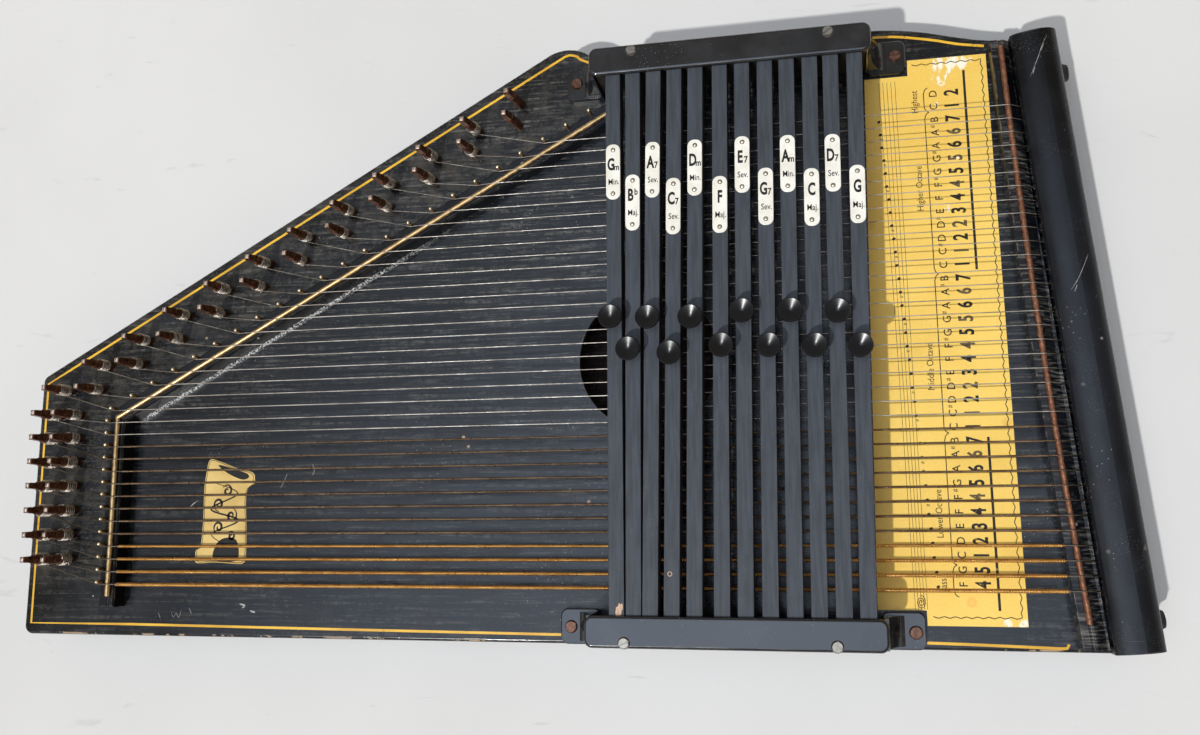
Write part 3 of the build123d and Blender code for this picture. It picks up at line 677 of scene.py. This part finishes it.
# ---------------------------------------------------------------- note chart print
INK_Z = CHART_TOP + GAP
LETTERS = ("F G C D E F F# G A A# B C C# D D# E F F# G G# A A# B C C# D D# E F F# G G# A A# B C D").split()
STEPS = {"C": "1", "D": "2", "E": "3", "F": "4", "G": "5", "A": "6", "B": "7"}
CHART_Y = (10.8, 280.3)      # the chart's two ends
CHART_EDGE = (514.0, 510.5)  # plan X of its right edge at those ends
BORDER_Y = (14.6, 277.6)     # the wavy border's two ends
BORDER_IN = 2.3              # and its distance from the right edge
WAVE = 0.42                  # half the height of its waves
SIDE_WAVES = 118
LETTER_X = 4.5               # offsets from the thin octave line
SHARP_X = 3.3
NUMBER_X = 13.1
THICK_BAR_X = 19.1
OCTAVES = [(265.5, 253.1, 258.8, "Highest"), (253.1, 173.2, 215.4, "Higher Octave"),
           (173.2, 97.8, 129.1, "Middle Octave"), (97.8, 37.9, 61.0, "Lower Octave"),
           (37.9, 23.7, 28.7, "Bass")]   # upper end, lower end, middle of the word, word


def right_edge(y):
    """Plan X of the chart's right edge."""
    share = (y - CHART_Y[0]) / (CHART_Y[1] - CHART_Y[0])
    return CHART_EDGE[0] + (CHART_EDGE[1] - CHART_EDGE[0]) * share


def line_x(y):
    """Plan X of the thin line beside the octave words."""
    return 483.3 - 0.0095 * (y - CHART_Y[0])


def write(bm, body, size, x, y, squeeze, fat=0.0):
    """One word printed on the chart, read from the hitch-pin end."""
    place = Matrix.Translation(at(x, y, INK_Z + THICK_INK / 2)) @ Matrix.Rotation(math.radians(90), 4, "Z")
    stamp(bm, text_mesh(body, size, THICK_INK, squeeze, fat), place)


bm = bmesh.new()
# wavy border just inside the edges
border = [(476.0 + 32.0 * k / 14, BORDER_Y[1] + WAVE * (-1) ** k) for k in range(15)]
for k in range(1, SIDE_WAVES):
    y = BORDER_Y[1] - (BORDER_Y[1] - BORDER_Y[0]) * k / SIDE_WAVES
    border.append((right_edge(y) - BORDER_IN + WAVE * (-1) ** k, y))
for k in range(17):
    x = right_edge(BORDER_Y[0]) - BORDER_IN - 38.0 * k / 16
    border.append((x, BORDER_Y[0] + 0.38 * (-1) ** k))
ribbon(bm, resample(border, 1.0), 0.40, INK_Z)
# staff of five lines, with the note dots up its length
for n in range(5):
    ribbon(bm, [(466.0 + 1.33 * n, 18.0), (460.2 + 1.9 * n, 270.0)], 0.20, INK_Z, THIN_INK)
for i, letter in enumerate(LETTERS[:N_STRINGS]):
    y = string_y(i)
    cx = 458.4 + 0.0766 * (262.2 - y) + 0.15 * math.sin(i * 2.1)
    spot = [(cx + 0.78 * math.cos(a) - 0.2 * math.sin(a), y + 0.9 + 0.62 * math.sin(a) + 0.33 * math.cos(a))
            for a in around(14)]
    plate(bm, spot, INK_Z, THICK_INK)
    if len(letter) > 1:
        write(bm, "#", 2.3, cx + 0.3, y - 1.5, 0.8)
# thin line with curled breaks between the octaves, and its words
for upper, lower, word_y, word in OCTAVES:
    x = line_x(upper)
    bracket = resample([(x + 2.0, upper), (x + 0.7, upper - 1.0), (x, upper - 3.2)], 0.5)
    x = line_x(lower)
    bracket += resample([(x, lower + 2.8), (x + 0.7, lower + 0.9), (x + 2.0, lower)], 0.5)
    ribbon(bm, bracket, 0.42, INK_Z)
    write(bm, word, 4.3, line_x(word_y) - 4.3, word_y, 0.88)
# clef at the bass end of the staff
clef = [(468.6 + (0.5 + 0.07 * k) * math.cos(0.62 * k), 21.2 + (0.6 + 0.11 * k) * math.sin(0.62 * k))
        for k in range(24)]
ribbon(bm, clef, 0.35, INK_Z, THIN_INK)
# note letters and bold scale numbers, one at each string; over the bass strings the print runs 2 mm ahead
pale = bmesh.new()
for i, letter in enumerate(LETTERS):
    y = string_y(i) + 2.0 * min(1.0, max(0.0, (150.0 - string_y(i)) / 60.0))
    sharp = len(letter) > 1
    write(bm, letter[0], 5.2, line_x(y) + LETTER_X, y, 0.95, 0.03)
    if sharp:
        write(bm, "#", 3.0, line_x(y) + SHARP_X, y + 3.1, 0.8, 0.01)
    write(pale if sharp else bm, STEPS[letter[0]], 9.1, line_x(y) + NUMBER_X, y, 0.70, 0.26)
# thick bars beside the outer octaves
for upper, lower in ((273.0, 174.4), (95.7, 17.7)):
    ends = [(line_x(y) + THICK_BAR_X, y) for y in (upper, lower)]
    ribbon(bm, ends, 1.15, INK_Z)
add("chart_print", from_bmesh(bm, "chart_print"), "chart_ink", ROOT)
add("chart_print_pale", from_bmesh(pale, "chart_print_pale"), "pale_ink", ROOT)

# ---------------------------------------------------------------- ornamental scroll decal, no lettering
DECAL_T = 0.04
ORNAMENT_Z = LINE_Z + DECAL_T + 0.005
DECAL_MIDDLE = (117.5, 64)
outline = [(107, 92), (113, 91.0), (123, 87.4), (132.2, 85), (133.6, 82), (133.4, 79), (129.9, 76.6),
           (129.0, 70), (130.0, 55), (130.3, 40.4), (128.8, 37.9), (126.3, 37.4), (113, 38.2),
           (101.7, 37.9), (101.0, 41), (101.3, 44.6), (103.8, 46.9), (104.6, 60), (104.4, 76), (105.2, 85)]
bm = bmesh.new()
plate(bm, resample(outline, 1.2, True), LINE_Z, DECAL_T)
add("decal_scroll", from_bmesh(bm, "decal_scroll"), "decal_paper")
bm = bmesh.new()
for patch in ([(112.5, 89.3), (129.5, 84.2), (127.2, 81.2), (118, 84.6)],
              [(112, 39.6), (125.2, 39.4), (124.6, 49.5), (117.5, 50.8), (112.6, 47.0)]):
    plate(bm, resample(patch, 1.0, True), ORNAMENT_Z, THIN_INK)
for cx, cy, size, turn in ((118, 75.5, 3.0, 0.4), (113.4, 68.4, 3.2, 2.6), (121.0, 62.5, 3.3, 5.4),
                           (113.8, 56.4, 3.0, 2.2), (121.4, 51.9, 2.2, 0.2)):
    curl = []
    for k in range(30):
        share = k / 29
        a = turn + 2 * math.pi * 1.35 * share
        r = size * (0.16 + 0.84 * share)
        curl.append((cx + r * math.cos(a), cy + r * 1.15 * math.sin(a)))
    ribbon(bm, curl, 1.35, ORNAMENT_Z, THIN_INK, taper=True)
vine = resample([(110, 80), (124, 74), (109, 66), (125, 60), (110, 53), (119, 47)], 1.0)
ribbon(bm, vine, 0.95, ORNAMENT_Z, THIN_INK, taper=True)
rim = [(x + (DECAL_MIDDLE[0] - x) * 0.045, y + (DECAL_MIDDLE[1] - y) * 0.022)
       for x, y in resample(outline, 1.5, True)]
ribbon(bm, rim, 0.32, ORNAMENT_Z, THIN_INK, closed=True)
add("decal_ornament", from_bmesh(bm, "decal_ornament"), "label_ink")

# ---------------------------------------------------------------- chord labels on the bars
LABELS = [("Gm", "Min."), ("Bb", "Maj."), ("A7", "Sev."), ("C7", "Sev."), ("Dm", "Min."), ("F", "Maj."),
          ("E7", "Sev."), ("G7", "Sev."), ("Am", "Min."), ("C", "Maj."), ("D7", "Sev."), ("G", "Maj.")]
LABEL_Y = [225.2, 209.3, 224.9, 206.2, 224.4, 205.5, 224.2, 207.9, 223.0, 206.1, 221.8, 206.1]
PLATE_W = 7.0
PLATE_L = 27.6
PLATE_T = 0.55
CORNER_R = 3.1
TOP_ROUND = 0.25
TEXT_Z = PLATE_T + 0.005
RIVET_X = 0.1                # each rivet sits this far off the plate's middle line
RIVET_Y = PLATE_L / 2 - 2.9
RIM_R = 1.12                 # dark ring around a rivet
RIM_SHARE = 0.28             # its width, as a share of its radius


def bar_axis(tag):
    """Plan X of a bar's centre line at a plan Y, from the CAD bar's own vertices, and its lean."""
    lows, highs = [], []
    for v in NODES["chord_bar_" + tag].data.vertices:
        x, y = v.co.x / MM + PLAN_X, v.co.y / MM + PLAN_Y
        if y < 30:
            lows.append((x, y))
        elif y > 260:
            highs.append((x, y))
    lx, ly = [sum(p[i] for p in (min(lows), max(lows))) / 2 for i in (0, 1)]
    hx, hy = [sum(p[i] for p in (min(highs), max(highs))) / 2 for i in (0, 1)]
    slope = (hx - lx) / (hy - ly)
    return (lambda y: lx + slope * (y - ly)), math.atan(slope)


def on_label(place, x, y, z):
    """Point on a label plate, from millimetres off the plate's middle."""
    return place @ Vector((x * MM, y * MM, z * MM))


def plate_mesh(bm, z0, z1, place):
    """Label plate with rounded corners and a softened top edge."""
    half_w = PLATE_W / 2 - CORNER_R
    half_l = PLATE_L / 2 - CORNER_R
    ring = []
    for cx, cy, start in ((1, 1, 0), (-1, 1, 90), (-1, -1, 180), (1, -1, 270)):
        for k in range(7):
            a = math.radians(start + 15 * k)
            ring.append((cx * half_w, cy * half_l, math.cos(a), math.sin(a)))
    soft = TOP_ROUND * 0.3
    rows = []
    for r, z in ((CORNER_R, z0), (CORNER_R, z1 - TOP_ROUND), (CORNER_R - soft, z1 - soft),
                 (CORNER_R - TOP_ROUND, z1)):
        rows.append([bm.verts.new(on_label(place, x + r * c, y + r * s, z)) for x, y, c, s in ring])
    for a, b in zip(rows, rows[1:]):
        for i in range(len(ring)):
            j = (i + 1) % len(ring)
            bm.faces.new((a[i], a[j], b[j], b[i]))
    bm.faces.new(rows[-1])
    bm.faces.new(rows[0][::-1])


def dome(bm, x, y, z, r, h, place):
    """Small domed rivet head."""
    sides = 16
    rows = []
    for lift, reach in ((0, r), (h * 0.35, r * 0.97), (h * 0.7, r * 0.75), (h * 0.93, r * 0.4)):
        ring = [(x + reach * math.cos(a), y + reach * math.sin(a)) for a in around(sides)]
        rows.append([bm.verts.new(on_label(place, rx, ry, z + lift)) for rx, ry in ring])
    for a, b in zip(rows, rows[1:]):
        for i in range(sides):
            j = (i + 1) % sides
            bm.faces.new((a[i], a[j], b[j], b[i]))
    tip = bm.verts.new(on_label(place, x, y, z + h))
    for i in range(sides):
        bm.faces.new((rows[-1][i], rows[-1][(i + 1) % sides], tip))
    bm.faces.new(rows[0][::-1])


def label_word(bm, body, size, x, y, squeeze, fat, place):
    """One word printed on a label plate."""
    spot = Matrix.Translation((x * MM, y * MM, TEXT_Z * MM))
    stamp(bm, text_mesh(body, size, THIN_INK, squeeze, fat), place @ spot)


def rivet_rim(bm, cx, cy, place):
    """Flat dark ring around a rivet."""
    rim = [(cx + RIM_R * math.cos(a), cy + RIM_R * math.sin(a)) for a in around(20)]
    for outer in zip(rim, rim[1:] + rim[:1]):
        inner = [(x - (x - cx) * RIM_SHARE, y - (y - cy) * RIM_SHARE) for x, y in outer[::-1]]
        corners = [on_label(place, x, y, TEXT_Z + THIN_INK) for x, y in [*outer, *inner]]
        bm.faces.new([bm.verts.new(corner) for corner in corners])


for tag, middle, (big, small) in zip(BARS, LABEL_Y, LABELS):
    axis, lean = bar_axis(tag)
    place = Matrix.Translation(at(axis(middle), middle, BAR_TOP)) @ Matrix.Rotation(-lean, 4, "Z")
    bm = bmesh.new()
    plate_mesh(bm, 0.02, PLATE_T, place)
    add("label_" + tag, from_bmesh(bm, "label_" + tag), "label_plate", "bar_" + tag)
    bm = bmesh.new()
    for side in (-1, 1):
        dome(bm, RIVET_X * side, RIVET_Y * side, PLATE_T - 0.02, 0.85, 0.35, place)
    mesh = from_bmesh(bm, "label_rivets_" + tag)
    smooth(mesh)
    add("label_rivets_" + tag, mesh, "label_rivet", "bar_" + tag)
    bm = bmesh.new()
    first, rest = big[0], big[1:]
    label_word(bm, first, 8.2, -0.95 if rest else 0.0, 3.4, 0.60, 0.30, place)
    if rest:
        label_word(bm, rest, 4.4, 1.75, 5.0 if rest == "b" else 2.0, 0.8, 0.12, place)
    label_word(bm, small, 4.1, 0.3, -5.2, 0.78, 0.04, place)
    for side in (-1, 1):
        rivet_rim(bm, RIVET_X * side, RIVET_Y * side, place)
    add("label_text_" + tag, from_bmesh(bm, "label_text_" + tag), "label_ink", "bar_" + tag)

# ---------------------------------------------------------------- string coils on the tuning pins
PIN_LEAN = math.radians(8.0)
PIN_DIR = Vector((-math.sin(PIN_LEAN), 0, math.cos(PIN_LEAN)))
PIN_R = 2.4
STRAIGHT_PINS = 14           # pins in the two rows along the tuning end; the others follow the slant
COIL_LOW = 2.7               # height of the lowest turn along the pin
SLEEVE_GAP = 0.02            # between the pin and the CAD string's sleeve
COIL_LIFT = 0.10             # the turns stand this far out of the sleeve they are sunk into
POINTS_PER_TURN = 14


def pin_base(i):
    """Plan position of a string's tuning pin, in two rows."""
    if i < STRAIGHT_PINS:
        y = 39.9 + 13.0 * (i // 2)
        return (14.3, y) if i % 2 == 0 else (26.6, y)
    k = (i - STRAIGHT_PINS) // 2
    if i % 2 == 0:
        return (19.8 + 23.5 * k, 131.5 + 13.1 * k)
    return (39.6 + 23.75 * k, 131.5 + 13.25 * k)


def tube(bm, path, r, sides=6):
    """Round wire along points in metres."""
    rows = []
    up = Vector((0, 0, 1))
    for i, p in enumerate(path):
        d = (path[min(i + 1, len(path) - 1)] - path[max(i - 1, 0)]).normalized()
        a = d.cross(up).normalized()
        b = d.cross(a).normalized()
        rows.append([bm.verts.new(p + (a * math.cos(t) + b * math.sin(t)) * r) for t in around(sides)])
    for a, b in zip(rows, rows[1:]):
        for q in range(sides):
            w = (q + 1) % sides
            bm.faces.new((a[q], a[w], b[w], b[q]))
    bm.faces.new(rows[0][::-1])
    bm.faces.new(rows[-1])


random.seed(7)
bm = bmesh.new()
side_x = PIN_DIR.cross(Vector((0, 1, 0))).normalized()
side_y = Vector((0, 1, 0))
for i in range(N_STRINGS):
    base = at(*pin_base(i), TOP)
    core = 0.35 if i < N_WOUND else 0.25
    wire = max(core, 0.27)
    centre_r = PIN_R + SLEEVE_GAP + 2 * core - wire * 0.35 + COIL_LIFT
    turns = 5 + random.random() * 1.8
    gap = 0.35 + 0.35 * random.random()
    start = random.random() * 6.28
    path = []
    steps = int(turns * POINTS_PER_TURN)
    for k in range(steps + 1):
        done = turns * k / steps
        a = start + 2 * math.pi * done
        h = COIL_LOW + (2 * wire + gap) * done
        out = side_x * math.cos(a) + side_y * math.sin(a)
        path.append(base + PIN_DIR * (h * MM) + out * (centre_r * MM))
    tube(bm, path, wire * MM)
mesh = from_bmesh(bm, "string_coils")
smooth(mesh)
add("string_coils", mesh, "coil_steel", ROOT)

# ---------------------------------------------------------------- wear marks
COVER_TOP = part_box("end_cover")[1][2] / MM
COVER_MARKS = [([(535.9, 280.8), (533.6, 276.5), (531.2, 270.0), (527.3, 261.0)], 0.22),
               ([(534.2, 277.0), (532.9, 273.5)], 0.22), ([(529.8, 266.0), (528.6, 262.5)], 0.3),
               ([(546.7, 175.6), (544.2, 169.6), (541.4, 163.8), (538.5, 159.6)], 0.24),
               ([(541.2, 161.8), (540.0, 158.8)], 0.35)]   # points, then the mark's width
BOARD_MARKS = [([(96, 66.5), (98.5, 69), (101, 70.5)], 0.55), ([(148.5, 76.5), (150.5, 80), (152, 84)], 0.3),
               ([(88.5, 12.5), (90, 9.8), (91.5, 12.0), (93, 9.6), (94.5, 13.6)], 0.22),
               ([(81, 12), (82.2, 9.5)], 0.22), ([(99, 14.5), (100.5, 11.5)], 0.22),
               ([(166, 89), (167.5, 86), (166.5, 83)], 0.3),
               ([(128, 17.0), (131, 16.2), (129.5, 15.0)], 0.9),
               ([(134, 13.6), (137, 12.8)], 1.0), ([(41, 20.5), (41.6, 20.0)], 0.7)]
for name, marks, step, z in (("cover_scratches", COVER_MARKS, 1.2, COVER_TOP),
                             ("board_scratches", BOARD_MARKS, 0.8, LINE_Z)):
    bm = bmesh.new()
    for line, width in marks:
        ribbon(bm, resample(line, step), width, z, THIN_INK, taper=True)
    add(name, from_bmesh(bm, name), "scratch")

# bare wood where the paint is gone from the bass end of bar 01, up to the bar's edge
CHIP_Y = 18.4
CHIP_X = 1.3                 # off the bar's middle line
HALF_BAR = 3.05
bm = bmesh.new()
random.seed(3)
axis = bar_axis("01")[0]
chip = []
for a in around(22):
    r = 1.0 + 0.45 * random.random()
    x = axis(CHIP_Y + 0.2) + CHIP_X + 1.25 * r * math.cos(a) + 0.7 * math.sin(a)
    y = CHIP_Y + 2.5 * r * math.sin(a)
    chip.append((min(x, axis(y) + HALF_BAR), y))
plate(bm, chip, BAR_TOP, THICK_INK)
add("bar_chip", from_bmesh(bm, "bar_chip"), "bare_wood", "bar_01")

# ring worn into bar 04
RING_Y = 34.5
RING_R = 0.95
bm = bmesh.new()
axis = bar_axis("04")[0]
ring = [(axis(RING_Y) - 0.9 + RING_R * math.cos(a), RING_Y + RING_R * math.sin(a)) for a in around(20)]
ribbon(bm, ring, 0.3, BAR_TOP, closed=True)
add("bar_ring", from_bmesh(bm, "bar_ring"), "bare_wood", "bar_04")

# ---------------------------------------------------------------- floor
FLOOR_SIZE = 4.0
FLOOR_DROP = 0.0002          # keeps the floor and the back panel out of one plane
bm = bmesh.new()
bmesh.ops.create_grid(bm, x_segments=2, y_segments=2, size=FLOOR_SIZE)
floor_mesh = from_bmesh(bm, "floor")
floor = bpy.data.objects.new("floor", floor_mesh)
floor.location = (0, 0, -FLOOR_DROP)
floor_mesh.materials.append(floor_material())
bpy.context.scene.collection.objects.link(floor)

# ---------------------------------------------------------------- sky: warm and dim, bright overhead
ROOM = (0.36, 0.305, 0.225, 1.0)
OVERHEAD = (2.45, 2.86, 3.50, 1.0)
HORIZON = (0.92, 0.90, 0.87, 1.0)
OVERHEAD_WAY = Vector((-0.14, -0.09, 0.986)).normalized()
OVERHEAD_EDGE = 0.855        # cosine of the bright patch's half angle
SKY_STRENGTH = 0.84
HORIZON_EDGE = (0.06, 0.36)  # the horizon's colour fades out over these heights of the direction


def sky_blend(tree, value, low, high, color):
    """Mix that starts from a colour and leaves it as a value goes from low to high."""
    step = tree.nodes.new("ShaderNodeMapRange")
    step.interpolation_type = "SMOOTHSTEP"
    step.inputs["From Min"].default_value = low
    step.inputs["From Max"].default_value = high
    tree.links.new(value, step.inputs["Value"])
    blend = tree.nodes.new("ShaderNodeMix")
    blend.data_type = "RGBA"
    blend.inputs[6].default_value = color
    tree.links.new(step.outputs["Result"], blend.inputs["Factor"])
    return blend


world = bpy.data.worlds.new("soft_sky")
world.use_nodes = True
tree = world.node_tree
sky = tree.nodes["Background"]
way = tree.nodes.new("ShaderNodeTexCoord")
toward = tree.nodes.new("ShaderNodeVectorMath")
toward.operation = "DOT_PRODUCT"
toward.inputs[1].default_value = OVERHEAD_WAY
tree.links.new(way.outputs["Generated"], toward.inputs[0])
height = tree.nodes.new("ShaderNodeSeparateXYZ")
tree.links.new(way.outputs["Generated"], height.inputs[0])
dome_light = sky_blend(tree, toward.outputs["Value"], OVERHEAD_EDGE, 1.0, ROOM)
dome_light.inputs[7].default_value = OVERHEAD
backdrop = sky_blend(tree, height.outputs["Z"], *HORIZON_EDGE, HORIZON)
tree.links.new(dome_light.outputs[2], backdrop.inputs[7])
tree.links.new(backdrop.outputs[2], sky.inputs["Color"])
sky.inputs["Strength"].default_value = SKY_STRENGTH
bpy.context.scene.world = world

# ---------------------------------------------------------------- sun
SUN_STRENGTH = 2.40
SUN_WIDTH = 1.4              # degrees; sets how soft the shadows' edges are
SUN_WAY = Vector((0.34, 0.58, -1.0))   # the light falls toward the hitch pins and the treble side
sun = bpy.data.lights.new("sun", "SUN")
sun.energy = SUN_STRENGTH
sun.angle = math.radians(SUN_WIDTH)
sun.color = (1.0, 0.99, 0.97)
sun_object = bpy.data.objects.new("sun", sun)
sun_object.rotation_euler = SUN_WAY.to_track_quat("-Z", "Y").to_euler()
bpy.context.scene.collection.objects.link(sun_object)

# ---------------------------------------------------------------- camera, fitted to the photograph
FOCAL_LENGTH = 32.1748
CAMERA_PLACE = (0.143985, -0.096574, 0.549014)
CAMERA_TURN = (8.43776, 12.11996, -0.25726)   # degrees about X, Y and Z
lens = bpy.data.cameras.new("camera")
lens.sensor_width = 36.0
lens.lens = FOCAL_LENGTH
lens.clip_start = 0.01
camera = bpy.data.objects.new("camera", lens)
camera.location = CAMERA_PLACE
camera.rotation_euler = [math.radians(a) for a in CAMERA_TURN]
bpy.context.scene.collection.objects.link(camera)
bpy.context.scene.camera = camera
bpy.context.scene.view_settings.view_transform = "Standard"
